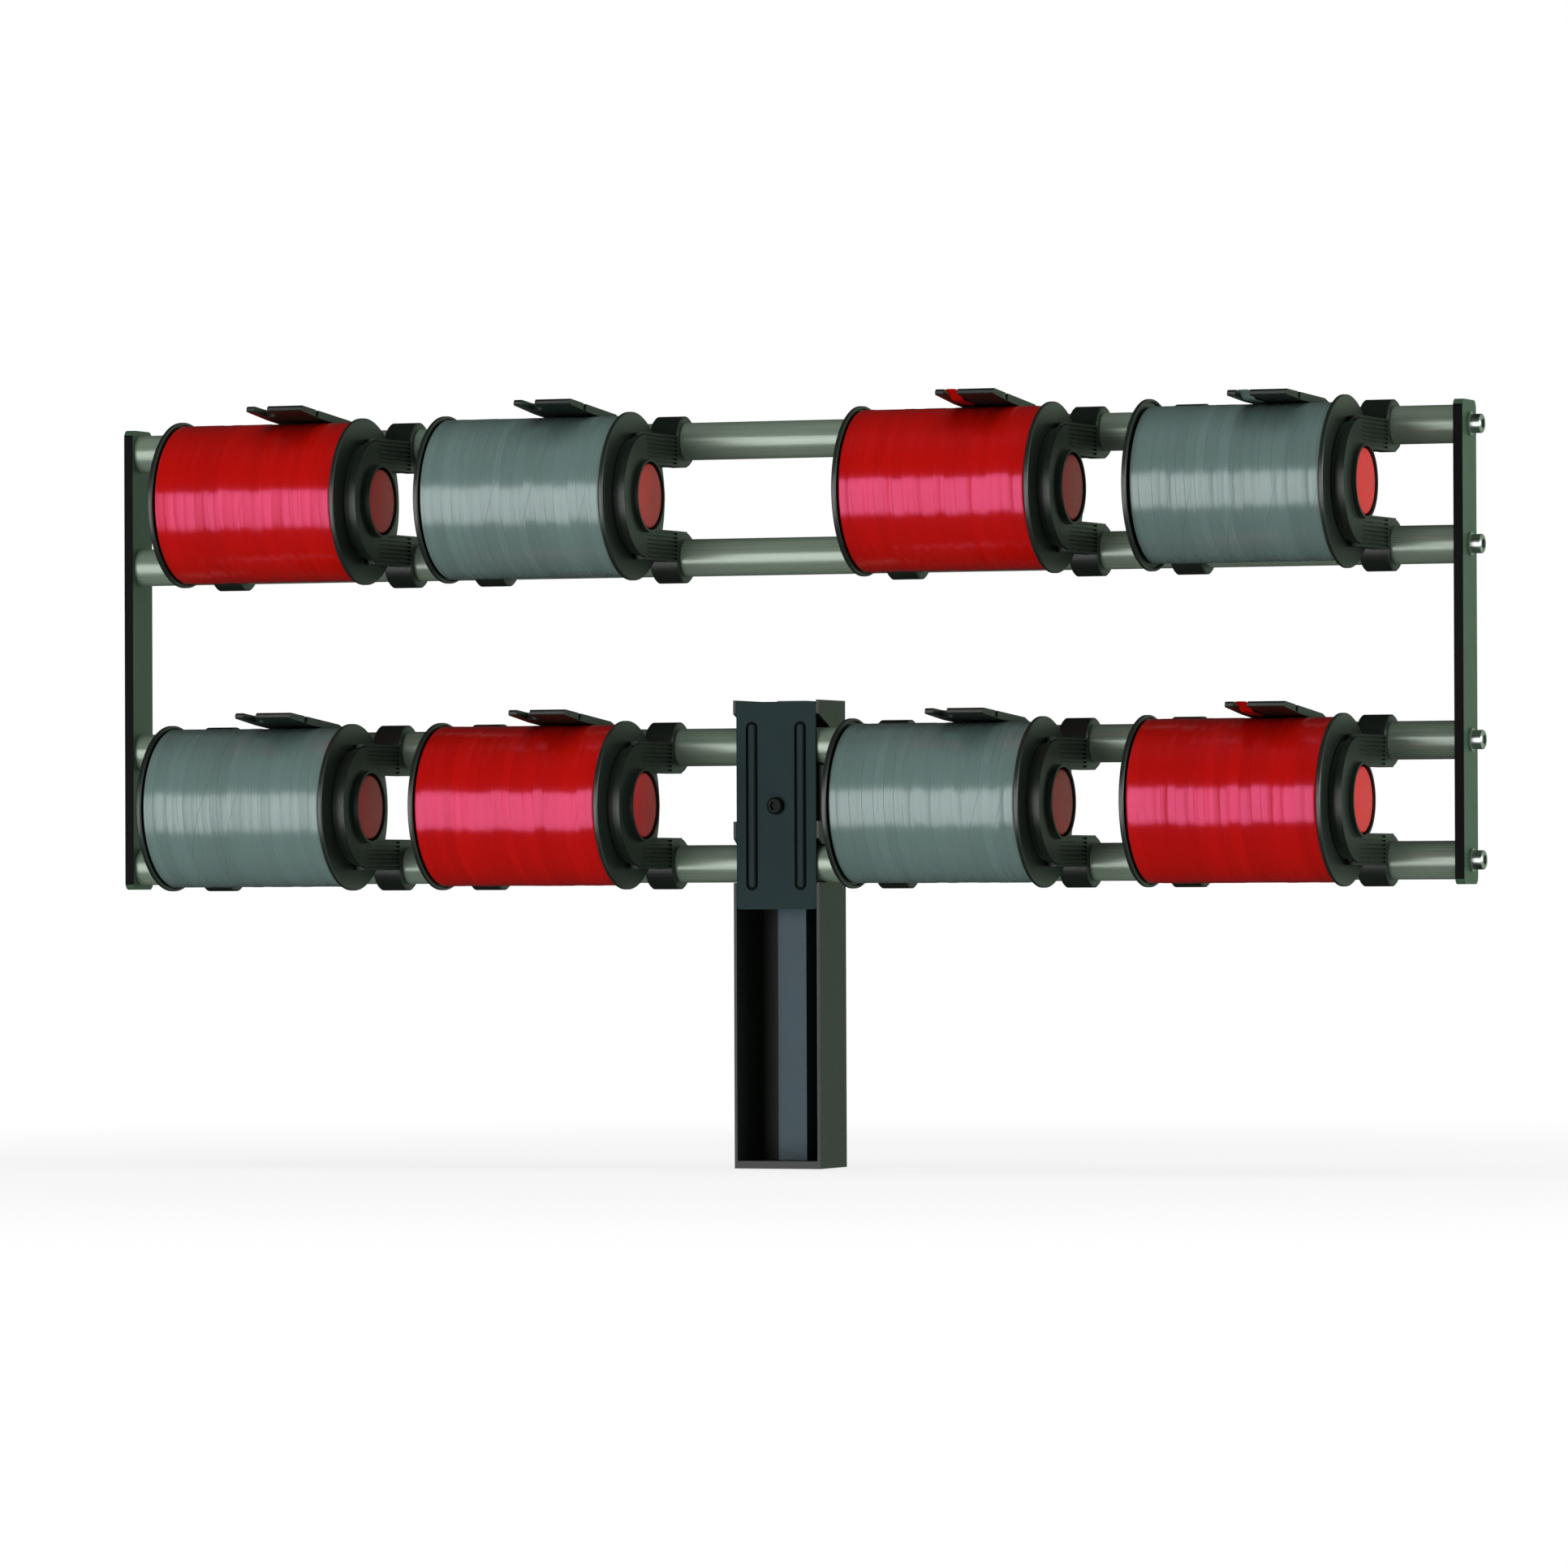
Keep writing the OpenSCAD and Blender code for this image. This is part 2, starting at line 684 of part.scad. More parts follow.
// A tube clip with chamfered ends, centred on its tube
module clip_ring(x0, x1) {
    turned() polygon([
        [0, x0], [clip_r - clip_edge, x0], [clip_r, x0 + clip_edge],
        [clip_r, x1 - clip_edge], [clip_r - clip_edge, x1], [0, x1]
    ]);
}

// Clips, arm and saddle on the upper tube; the lower tube has the mirror image
module holder_side() {
    difference() {
        union() {
            arm();
            translate([0, spool_forward, half_pair]) {
                clip_ring(clip_right - clip_right_l, clip_right);
                clip_ring(-clip_left, -clip_left + clip_left_l);
                difference() {
                    xrod(tube_r + web_t, -clip_left + 1, clip_right - 1);
                    box([-clip_left, 0, -clip_r - 1], [clip_right, clip_r + 1, clip_r + 1]);
                    box([-clip_left, -clip_r - 1, saddle_reach], [clip_right, 1, clip_r + 1]);
                }
            }
        }
        translate([0, spool_forward, half_pair]) {
            xrod(tube_r + fixed_clear, -clip_left - 1, clip_right + 1);
            box([-clip_left - 1, 0, -clip_mouth / 2], [clip_right + 1, clip_r + 1, clip_mouth / 2]);
        }
    }
}

// The web between the two saddles, with two windows
module holder_web() {
    right = clip_right - clip_right_l;
    low = -half_pair + tube_r + 1;
    difference() {
        box([-clip_left + 1, spool_forward - web_t, low], [right + 1, spool_forward, -low]);
        translate([(right - clip_left) / 2, spool_forward + 1, 0]) rotate([90, 0, 0])
            linear_extrude(web_t + 2) for (s = [-1, 1])
                translate([s * web_window_pitch / 2, 0])
                    round_rect(web_window_w, web_window_h, web_window_corner);
    }
}

// An ear that carries the cutter arm's hinge, drawn in the Y-Z plane
module ear_outline() {
    reach = [spool_forward - hinge_back, half_pair - hinge_up];
    side = [-reach[1], reach[0]] / norm(reach);
    root = [spool_forward, half_pair];
    tip = [hinge_back, hinge_up];
    difference() {
        union() {
            translate(tip) circle(barrel_r);
            polygon([
                tip + side * barrel_r, root + side * tube_r, root - side * tube_r, tip - side * barrel_r
            ]);
        }
        translate(tip) circle(ear_hole_r);
        translate(root) circle(tube_r + fixed_clear);
    }
}

module ears() {
    across(cutter_right + side_clear, cutter_right + side_clear + ear_t) ear_outline();
    across(cutter_left - side_clear - ear_t, cutter_left - side_clear) ear_outline();
}

// The moulded body of one holder
module holder(i) {
    color("#171b19") at_unit(i) {
        hub();
        difference() {
            union() {
                holder_side();
                mirror([0, 0, 1]) holder_side();
            }
            xrod(recess_r, recess_floor, disc_x + 1);
        }
        holder_web();
        ears();
    }
}

// ---------- spool and ribbon ----------

// A flange with a beaded rim; its outer face is at X = 0 and it lies on the -X side
module flange() {
    difference() {
        turned() polygon([
            [core_bore_r, -flange_t], [flange_r - rim_w, -flange_t],
            [flange_r - rim_w, -rim_t + rim_edge], [flange_r - rim_w + rim_edge, -rim_t],
            [flange_r - rim_edge, -rim_t], [flange_r, -rim_t + rim_edge],
            [flange_r, -rim_edge], [flange_r - rim_edge, 0], [core_bore_r, 0]
        ]);
        for (k = [0 : flange_windows - 1]) rotate([k * 360 / flange_windows, 0, 0])
            translate([0, 0, window_circle_r]) xrod(window_r, -flange_t - 1, 1);
    }
}

module spool(i) {
    color("#1d211f") at_unit(i) {
        flange();
        translate([-spool_length, 0, 0]) mirror([1, 0, 0]) flange();
        difference() {
            xrod(core_r, -spool_length + flange_t - eps, -flange_t + eps);
            xrod(core_bore_r, -spool_length, 0);
        }
    }
}

// The wound ribbon pack with rounded edges
module ribbon(i) {
    right = -rim_t - ribbon_gap;
    left = -spool_length + rim_t + ribbon_gap;
    inner = core_r + fixed_clear;
    outer = pack_r(i);
    edge = outer - ribbon_round;
    color(ribbon_colors[i - 1]) at_unit(i) turned() {
        translate([inner, left]) square([edge - inner, right - left]);
        translate([inner, left + ribbon_round])
            square([outer - inner, right - left - 2 * ribbon_round]);
        for (x = [left + ribbon_round, right - ribbon_round])
            translate([edge, x]) circle(ribbon_round);
    }
}

// ---------- button ----------

// The release button: a domed cap on a stem whose split end snaps behind the sleeve
module button(i) {
    face = disc_x + button_proud;
    edge = button_edge;
    dome_r = (button_r * button_r + button_dome * button_dome) / (2 * button_dome);
    cap_back = recess_floor + button_travel + side_clear;
    lip_x = sleeve_end - run_clear;
    stem_end = lip_x - stem_lip_l;
    color("#c0262b") at_unit(i) {
        turned() intersection() {
            polygon([
                [0, cap_back], [button_r - edge / 3, cap_back], [button_r, cap_back + edge / 3],
                [button_r, face - edge], [button_r - edge / 3, face - edge / 3],
                [button_r - edge, face], [button_r - edge, face + button_dome], [0, face + button_dome]
            ]);
            translate([0, face + button_dome - dome_r]) circle(dome_r, $fn = 360);
        }
        difference() {
            union() {
                xrod(stem_r, lip_x - eps, cap_back + eps);
                turned() polygon([
                    [0, stem_end], [stem_r - stem_lip, stem_end], [stem_r + stem_lip, lip_x - stem_land],
                    [stem_r + stem_lip, lip_x], [0, lip_x]
                ]);
            }
            xrod(stem_r - button_wall, stem_end - 1, cap_back);
            for (a = [0, 90]) rotate([a, 0, 0])
                box([stem_end - 1, -stem_r - stem_lip - 1, -stem_slot / 2],
                    [sleeve_end + sleeve_l / 2, stem_r + stem_lip + 1, stem_slot / 2]);
        }
    }
}

// ---------- cutter arm ----------

// Side view of the arm: y runs back from the front edge to the hinge, z is up
module cutter_profile() {
    front = -cutter_length;
    polygon([
        [front, cutter_top - cutter_front_t + cutter_bevel / 2],
        [front, cutter_top - cutter_bevel], [front + cutter_bevel, cutter_top],
        [-root_top, cutter_top], barrel_top, [barrel_top[0], 0], barrel_low, [-root_low, cutter_under],
        [front + cutter_taper, cutter_under],
        [front + cutter_bevel / 2, cutter_top - cutter_front_t]
    ]);
    circle(barrel_r);
}

module blade_solid() {
    x0 = slot_left - blade_side;
    x1 = slot_left + slot_w + blade_side;
    half = blade_t / 2;
    translate([0, 0, blade_z]) across(x0, x1) polygon([
        [blade_front, 0], [blade_front + blade_grind, half], [blade_front + blade_l, half],
        [blade_front + blade_l, -half], [blade_front + blade_grind, -half]
    ]);
}

// The arm that lies on the ribbon, with its slot, side notch, blade pocket and trunnions
module cutter_arm(i) {
    color("#1f2623") at_hinge(i) {
        difference() {
            across(cutter_left, cutter_right) cutter_profile();
            box([slot_left, -cutter_length - 1, -1],
                [slot_left + slot_w, slot_end - slot_w / 2, cutter_top + 1]);
            translate([slot_left + slot_w / 2, slot_end - slot_w / 2, -1])
                cylinder(d = slot_w, h = cutter_top + 2);
            box([cutter_right - notch_w, notch_at - cutter_length, -1],
                [cutter_right + 1, notch_at - cutter_length + notch_l, cutter_top + 1]);
            blade_solid();
        }
        xrod(trunnion_r, cutter_left - side_clear - ear_t, cutter_left + 1);
        xrod(trunnion_r, cutter_right - 1, cutter_right + side_clear + ear_t);
    }
}

// The steel blade across the end of the slot
module cutter_blade(i) {
    color("#c4c9c6") at_hinge(i) blade_solid();
}

end_plate_left();
end_plate_right();
for (n = [1 : 4]) tube(n);
tube_plugs();
end_screws();
post();
post_rail();
clamp_plate();
clamp_screw();
for (i = units) holder(i);
for (i = units) spool(i);
for (i = units) ribbon(i);
for (i = units) button(i);
for (i = units) cutter_arm(i);
for (i = units) cutter_blade(i);
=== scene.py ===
"""Looks for a rack of ribbon spool dispensers: materials, wound ribbon, ribbon ends, stage and camera."""

import math

import bpy
from bpy.props import FloatProperty, FloatVectorProperty, IntProperty, PointerProperty
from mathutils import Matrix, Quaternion, Vector


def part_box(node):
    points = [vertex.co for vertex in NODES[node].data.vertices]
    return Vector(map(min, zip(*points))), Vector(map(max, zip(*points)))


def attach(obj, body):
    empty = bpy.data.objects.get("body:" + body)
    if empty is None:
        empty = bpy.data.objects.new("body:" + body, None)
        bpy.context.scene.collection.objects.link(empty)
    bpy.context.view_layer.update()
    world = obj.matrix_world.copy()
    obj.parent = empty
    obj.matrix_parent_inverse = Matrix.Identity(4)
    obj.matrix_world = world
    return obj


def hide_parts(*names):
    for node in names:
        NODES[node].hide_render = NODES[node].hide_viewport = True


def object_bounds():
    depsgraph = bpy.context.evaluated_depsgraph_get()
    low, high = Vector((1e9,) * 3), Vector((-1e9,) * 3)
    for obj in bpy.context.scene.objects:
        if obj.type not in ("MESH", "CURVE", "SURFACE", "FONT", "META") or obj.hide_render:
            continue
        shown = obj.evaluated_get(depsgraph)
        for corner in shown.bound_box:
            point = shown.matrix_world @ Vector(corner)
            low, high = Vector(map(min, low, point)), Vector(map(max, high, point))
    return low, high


bl_info = {
    "name": "Ribbon Rack Looks",
    "version": (1, 0, 0),
    "blender": (4, 5, 0),
    "location": "View3D > Sidebar > Ribbon Rack",
    "description": "Dresses a rack of ribbon spool dispensers and stages it for a product picture",
    "category": "Object",
}

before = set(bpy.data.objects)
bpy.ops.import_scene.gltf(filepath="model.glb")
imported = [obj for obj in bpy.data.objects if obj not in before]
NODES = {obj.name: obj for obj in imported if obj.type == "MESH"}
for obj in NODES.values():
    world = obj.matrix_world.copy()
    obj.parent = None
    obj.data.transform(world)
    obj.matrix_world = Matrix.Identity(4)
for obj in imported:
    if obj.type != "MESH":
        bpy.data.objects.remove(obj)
CAD_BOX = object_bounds()
UNITS = range(1, 9)
MM = 0.001
RED_UNITS = (1, 3, 6, 8)
LOOSE_ENDS = (3, 4, 8)
# Vertices closer than this are merged
WELD = 0.000002
# Scale of the fine grain of painted steel
PAINT_GRAIN = 1500.0
# Turns of ribbon, and slanting edges that cross them, per metre of spool
TURNS_PER_METRE = 170.0
CROSSINGS_PER_METRE = 42.0
# Angles of the points that round a corner of the wound pack
CORNER_ANGLES = (math.pi / 8, math.pi / 4, 3 * math.pi / 8)


def unit_name(kind, i):
    return f"{kind}_{i}"


# ---------------------------------------------------------------- settings


class RackStageSettings(bpy.types.PropertyGroup):
    """Camera, floor and light of the product picture."""

    camera_place: FloatVectorProperty(
        name="Camera place", description="Where the camera stands", default=(1.704, -4.4682, 0.1445),
        size=3, subtype="TRANSLATION", unit="LENGTH")
    camera_yaw: FloatProperty(
        name="Yaw", description="How far the camera is turned to the left of straight ahead",
        default=math.radians(20.91), subtype="ANGLE")
    camera_pitch: FloatProperty(
        name="Pitch", description="How far the camera looks up", default=math.radians(0.71), subtype="ANGLE")
    camera_roll: FloatProperty(
        name="Roll", description="Turn of the camera about its own axis", default=math.radians(-0.22),
        subtype="ANGLE")
    lens: FloatProperty(
        name="Lens", description="Focal length on a 36 mm sensor, in millimetres", default=206.68, min=1.0)
    key_power: FloatProperty(
        name="Key light", description="Power of the large soft light in front", default=61.0, min=0.0,
        subtype="POWER", unit="POWER")
    side_power: FloatProperty(
        name="Side light", description="Power of the soft light on the right", default=45.0, min=0.0,
        subtype="POWER", unit="POWER")
    top_power: FloatProperty(
        name="Top light", description="Power of the soft light overhead", default=22.0, min=0.0,
        subtype="POWER", unit="POWER")
    back_power: FloatProperty(
        name="Back light", description="Power of the soft light behind the rack", default=16.0, min=0.0,
        subtype="POWER", unit="POWER")
    fill: FloatProperty(
        name="Fill", description="Level of the even light from all round", default=0.28, min=0.0)
    room_front: FloatVectorProperty(
        name="Room in front", description="What glossy surfaces mirror from the camera's side",
        default=(0.02, 0.02, 0.02), size=3, subtype="COLOR", min=0.0, max=1.0)
    room_right: FloatVectorProperty(
        name="Room on the right", description="What glossy surfaces mirror from the rack's right",
        default=(0.50, 0.66, 0.50), size=3, subtype="COLOR", min=0.0, max=1.0)


class RibbonSettings(bpy.types.PropertyGroup):
    """Colour and winding of the ribbon."""

    red: FloatVectorProperty(
        name="Red ribbon", description="Colour of the red ribbon", default=(0.335, 0.0035, 0.0015),
        size=3, subtype="COLOR", min=0.0, max=1.0)
    red_sheen: FloatVectorProperty(
        name="Red sheen", description="Tint of the red ribbon's highlight", default=(1.0, 0.22, 0.52),
        size=3, subtype="COLOR", min=0.0, max=1.0)
    grey: FloatVectorProperty(
        name="Grey ribbon", description="Colour of the grey ribbon", default=(0.088, 0.135, 0.126),
        size=3, subtype="COLOR", min=0.0, max=1.0)
    grey_sheen: FloatVectorProperty(
        name="Grey sheen", description="Tint of the grey ribbon's highlight", default=(0.92, 1.0, 1.0),
        size=3, subtype="COLOR", min=0.0, max=1.0)
    turns: IntProperty(
        name="Turns", description="Turns of ribbon side by side on a spool", default=18, min=4, max=40)
    unevenness: FloatProperty(
        name="Unevenness", description="How far turns lie below the outside of the pack",
        default=0.00016, min=0.0, max=0.001, unit="LENGTH")
    core_radius: FloatProperty(
        name="Core radius", description="Inner radius of the wound pack", default=0.01905, min=0.001,
        unit="LENGTH")
    corner: FloatProperty(
        name="Corner", description="Radius of the pack's rounded ends", default=0.0009, min=0.0,
        unit="LENGTH")
    segments: IntProperty(
        name="Segments", description="Steps of the turned pack round its spool", default=144, min=24, max=360)
    end_width: FloatProperty(
        name="End width", description="Width of a loose ribbon end", default=0.0068, min=0.001, unit="LENGTH")
    end_thickness: FloatProperty(
        name="End thickness", description="Thickness of a loose ribbon end", default=0.00012, min=0.00001,
        unit="LENGTH")


class CutterSettings(bpy.types.PropertyGroup):
    """Sizes of the hinged cutter arm that a loose ribbon end lies in."""

    hinge_back: FloatProperty(
        name="Hinge back", description="How far the hinge lies behind the spool axis", default=0.034,
        unit="LENGTH")
    hinge_up: FloatProperty(
        name="Hinge up", description="Height of the hinge above the spool axis", default=0.0385,
        unit="LENGTH")
    underside: FloatProperty(
        name="Underside", description="Height of the arm's underside above the hinge, square to the arm",
        default=0.0016, unit="LENGTH")
    rest_gap: FloatProperty(
        name="Rest gap", description="Gap between the arm and the pack that it lies on", default=0.0003,
        min=0.0, unit="LENGTH")
    slot_place: FloatProperty(
        name="Slot place", description="Left side of the slot, from the spool's right end",
        default=-0.048, unit="LENGTH")
    slot_width: FloatProperty(
        name="Slot width", description="Width of the slot", default=0.0075, min=0.001, unit="LENGTH")


class PlasticSettings(bpy.types.PropertyGroup):
    """Colours of the moulded pieces."""

    holder: FloatVectorProperty(
        name="Holder", description="Colour of the holders and cutter arms", default=(0.0055, 0.009, 0.0065),
        size=3, subtype="COLOR", min=0.0, max=1.0)
    spool: FloatVectorProperty(
        name="Spool", description="Colour of the spools", default=(0.0085, 0.012, 0.0095),
        size=3, subtype="COLOR", min=0.0, max=1.0)
    button: FloatVectorProperty(
        name="Button", description="Colour of the release buttons", default=(0.58, 0.022, 0.026),
        size=3, subtype="COLOR", min=0.0, max=1.0)


class MetalSettings(bpy.types.PropertyGroup):
    """Colours of the rack's metal."""

    tube: FloatVectorProperty(
        name="Tubes", description="Colour of the satin tubes", default=(0.155, 0.205, 0.155),
        size=3, subtype="COLOR", min=0.0, max=1.0)
    plate: FloatVectorProperty(
        name="End plates", description="Colour of the end plates", default=(0.035, 0.072, 0.042),
        size=3, subtype="COLOR", min=0.0, max=1.0)
    post: FloatVectorProperty(
        name="Post", description="Colour of the post", default=(0.006, 0.008, 0.006),
        size=3, subtype="COLOR", min=0.0, max=1.0)
    clamp: FloatVectorProperty(
        name="Clamp plate", description="Colour of the clamp plate", default=(0.012, 0.024, 0.026),
        size=3, subtype="COLOR", min=0.0, max=1.0)
    rail: FloatVectorProperty(
        name="Rail", description="Colour of the rail in the post", default=(0.024, 0.05, 0.065),
        size=3, subtype="COLOR", min=0.0, max=1.0)


SETTINGS = {
    "rack_stage": RackStageSettings,
    "rack_ribbon": RibbonSettings,
    "rack_cutter": CutterSettings,
    "rack_plastic": PlasticSettings,
    "rack_metal": MetalSettings,
}


# ---------------------------------------------------------------- shader groups


def add_node(tree, kind, **values):
    """Adds a shader node; values are its own settings or, by socket name, its inputs."""
    node = tree.nodes.new(kind)
    for key, value in values.items():
        if hasattr(node, key):
            setattr(node, key, value)
        else:
            node.inputs[key.replace("_", " ")].default_value = value
    return node


def join(tree, source, out, target, into):
    tree.links.new(source.outputs[out], target.inputs[into])


def new_group(name, inputs, outputs):
    """A node group: inputs are {name: default}, with None for a vector, and outputs {name: type}."""
    tree = bpy.data.node_groups.new(name, "ShaderNodeTree")
    for key, value in inputs.items():
        kind = "NodeSocketVector" if value is None else "NodeSocketFloat"
        socket = tree.interface.new_socket(key, in_out="INPUT", socket_type=kind)
        if value is not None:
            socket.default_value = value
    for key, kind in outputs.items():
        tree.interface.new_socket(key, in_out="OUTPUT", socket_type="NodeSocket" + kind)
    return tree, tree.nodes.new("NodeGroupInput"), tree.nodes.new("NodeGroupOutput")


def math_node(tree, operation, a, b=None, clamp=False):
    """A maths node; a and b are numbers or (node, output) pairs."""
    node = tree.nodes.new("ShaderNodeMath")
    node.operation = operation
    node.use_clamp = clamp
    for index, value in enumerate((a, b)):
        if value is None:
            continue
        if isinstance(value, tuple):
            tree.links.new(value[0].outputs[value[1]], node.inputs[index])
        else:
            node.inputs[index].default_value = value
    return node


def grain_group():
    """Fine moulded or painted grain with faint cloudy patches."""
    tree, start, end = new_group(
        "surface_grain", {"Vector": None, "Grain Scale": 900.0, "Patch Scale": 25.0},
        {"Grain": "Float", "Patches": "Float"})
    fine = add_node(tree, "ShaderNodeTexNoise", Detail=2.0, Roughness=0.6)
    join(tree, start, "Vector", fine, "Vector")
    join(tree, start, "Grain Scale", fine, "Scale")
    wide = add_node(tree, "ShaderNodeTexNoise", Detail=3.0, Roughness=0.55)
    join(tree, start, "Vector", wide, "Vector")
    join(tree, start, "Patch Scale", wide, "Scale")
    join(tree, fine, "Fac", end, "Grain")
    join(tree, wide, "Fac", end, "Patches")
    return tree


def drawn_group():
    """Hair-fine lines along X, as on drawn and anodised tube."""
    tree, start, end = new_group(
        "drawn_lines", {"Vector": None, "Line Scale": 1400.0, "Stretch": 0.012}, {"Lines": "Float"})
    split = add_node(tree, "ShaderNodeSeparateXYZ")
    join(tree, start, "Vector", split, "Vector")
    long_x = math_node(tree, "MULTIPLY", (split, "X"))
    join(tree, start, "Stretch", long_x, 1)
    pack = add_node(tree, "ShaderNodeCombineXYZ")
    join(tree, long_x, "Value", pack, "X")
    join(tree, split, "Y", pack, "Y")
    join(tree, split, "Z", pack, "Z")
    noise = add_node(tree, "ShaderNodeTexNoise", Detail=2.0, Roughness=0.5)
    join(tree, pack, "Vector", noise, "Vector")
    join(tree, start, "Line Scale", noise, "Scale")
    join(tree, noise, "Fac", end, "Lines")
    return tree


def turn_edges(tree, place, scale, width):
    """Thin lines where one turn of ribbon ends and the next begins."""
    cells = add_node(tree, "ShaderNodeTexVoronoi", voronoi_dimensions="1D",
                     feature="DISTANCE_TO_EDGE", Scale=scale)
    join(tree, place, "Value", cells, "W")
    line = add_node(tree, "ShaderNodeMapRange", interpolation_type="SMOOTHSTEP")
    join(tree, cells, "Distance", line, "Value")
    line.inputs["From Max"].default_value = width
    line.inputs["To Min"].default_value = 1.0
    line.inputs["To Max"].default_value = 0.0
    return line


def patchy(tree, start, line, scale, low, high):
    """A line that fades in and out along its length."""
    noise = add_node(tree, "ShaderNodeTexNoise", Scale=scale, Detail=1.0)
    join(tree, start, "Vector", noise, "Vector")
    span = add_node(tree, "ShaderNodeMapRange")
    join(tree, noise, "Fac", span, "Value")
    span.inputs["From Min"].default_value = low
    span.inputs["From Max"].default_value = high
    return math_node(tree, "MULTIPLY", (line, "Result"), (span, "Result"))


def winding_group():
    """Turns of ribbon round X: their edges, the fine lines between, and how each turn leans."""
    tree, start, end = new_group(
        "wrap_lines", {"Vector": None, "Turn Lean": 0.035, "Line Lean": 0.075, "Slow Lean": 0.05},
        {"Turn": "Float", "Fine": "Float", "Edges": "Float", "Lean": "Float"})
    place = add_node(tree, "ShaderNodeVectorMath", operation="DOT_PRODUCT")
    join(tree, start, "Vector", place, 0)
    place.inputs[1].default_value = (1.0, 0.02, 0.03)
    crossing = add_node(tree, "ShaderNodeVectorMath", operation="DOT_PRODUCT")
    join(tree, start, "Vector", crossing, 0)
    crossing.inputs[1].default_value = (1.0, 0.05, -0.3)
    cells = add_node(tree, "ShaderNodeTexVoronoi", voronoi_dimensions="1D", Scale=TURNS_PER_METRE)
    join(tree, place, "Value", cells, "W")
    turn = add_node(tree, "ShaderNodeSeparateColor")
    join(tree, cells, "Color", turn, "Color")
    edges = patchy(tree, start, turn_edges(tree, place, TURNS_PER_METRE, 0.022), 24.0, 0.46, 0.62)
    across = patchy(tree, start, turn_edges(tree, crossing, CROSSINGS_PER_METRE, 0.006), 16.0, 0.5, 0.6)
    both = math_node(tree, "MAXIMUM", (edges, "Value"), (across, "Value"))
    fine = add_node(tree, "ShaderNodeTexNoise", noise_dimensions="1D", Scale=1900.0, Detail=4.0,
                    Roughness=0.7)
    join(tree, place, "Value", fine, "W")
    slow = add_node(tree, "ShaderNodeTexNoise", noise_dimensions="4D", Scale=14.0, Detail=1.0)
    join(tree, start, "Vector", slow, "Vector")
    shift = math_node(tree, "MULTIPLY", (turn, "Red"), 3.0)
    join(tree, shift, "Value", slow, "W")
    lean = None
    leans = ((turn, "Green", "Turn Lean"), (fine, "Fac", "Line Lean"), (slow, "Fac", "Slow Lean"))
    for source, out, amount in leans:
        centred = math_node(tree, "SUBTRACT", (source, out), 0.5)
        part = math_node(tree, "MULTIPLY", (centred, "Value"), (start, amount))
        lean = part if lean is None else math_node(tree, "ADD", (lean, "Value"), (part, "Value"))
    join(tree, turn, "Blue", end, "Turn")
    join(tree, fine, "Fac", end, "Fine")
    join(tree, both, "Value", end, "Edges")
    join(tree, lean, "Value", end, "Lean")
    return tree


def lean_group():
    """Leans a normal round the X axis by a small amount."""
    tree, start, end = new_group("lean_round", {"Vector": None, "Amount": 0.0}, {"Normal": "Vector"})
    round_x = add_node(tree, "ShaderNodeVectorMath", operation="CROSS_PRODUCT")
    round_x.inputs[0].default_value = (1.0, 0.0, 0.0)
    join(tree, start, "Vector", round_x, 1)
    side = add_node(tree, "ShaderNodeVectorMath", operation="SCALE")
    join(tree, round_x, "Vector", side, "Vector")
    join(tree, start, "Amount", side, "Scale")
    total = add_node(tree, "ShaderNodeVectorMath", operation="ADD")
    join(tree, start, "Vector", total, 0)
    join(tree, side, "Vector", total, 1)
    unit = add_node(tree, "ShaderNodeVectorMath", operation="NORMALIZE")
    join(tree, total, "Vector", unit, "Vector")
    join(tree, unit, "Vector", end, "Normal")
    return tree


GROUPS = {}


def shader_group(name):
    """The shared group of that name, built the first time it is asked for."""
    makers = {"grain": grain_group, "drawn": drawn_group, "winding": winding_group, "lean": lean_group}
    if name not in GROUPS:
        GROUPS[name] = makers[name]()
    return GROUPS[name]


def place_group(tree, name, **values):
    """The named group in a material, fed with object coordinates."""
    node = tree.nodes.new("ShaderNodeGroup")
    node.node_tree = shader_group(name)
    coords = tree.nodes.new("ShaderNodeTexCoord")
    tree.links.new(coords.outputs["Object"], node.inputs["Vector"])
    for key, value in values.items():
        node.inputs[key.replace("_", " ")].default_value = value
    return node


def blank_material(name, **sockets):
    """A material with one Principled BSDF whose plain sockets are set by name."""
    material = bpy.data.materials.new(name)
    material.use_nodes = True
    bsdf = material.node_tree.nodes["Principled BSDF"]
    for key, value in sockets.items():
        bsdf.inputs[key.replace("_", " ")].default_value = value
    return material, material.node_tree, bsdf


def ramp_between(tree, source, out, low, high, into_node, into, dark=0.0, light=1.0):
    """Maps a 0-1 value to the range low-high of another socket."""
    span = add_node(tree, "ShaderNodeMapRange")
    span.inputs["From Min"].default_value = dark
    span.inputs["From Max"].default_value = light
    span.inputs["To Min"].default_value = low
    span.inputs["To Max"].default_value = high
    join(tree, source, out, span, "Value")
    join(tree, span, "Result", into_node, into)
    return span


def mix_colors(tree, source, out, color_a, color_b, into_node, into):
    """Blends two colours by a value."""
    mix = tree.nodes.new("ShaderNodeMix")
    mix.data_type = "RGBA"
    mix.inputs["A"].default_value = (*color_a, 1.0)
    mix.inputs["B"].default_value = (*color_b, 1.0)
    tree.links.new(source.outputs[out], mix.inputs["Factor"])
    tree.links.new(mix.outputs["Result"], into_node.inputs[into])
    return mix


def scaled(color, factor):
    return tuple(min(1.0, c * factor) for c in color)


def add_bump(tree, bsdf, source, out, strength, distance):
    bump = add_node(tree, "ShaderNodeBump", Strength=strength, Distance=distance)
    join(tree, source, out, bump, "Height")
    join(tree, bump, "Normal", bsdf, "Normal")
    return bump


# ---------------------------------------------------------------- materials


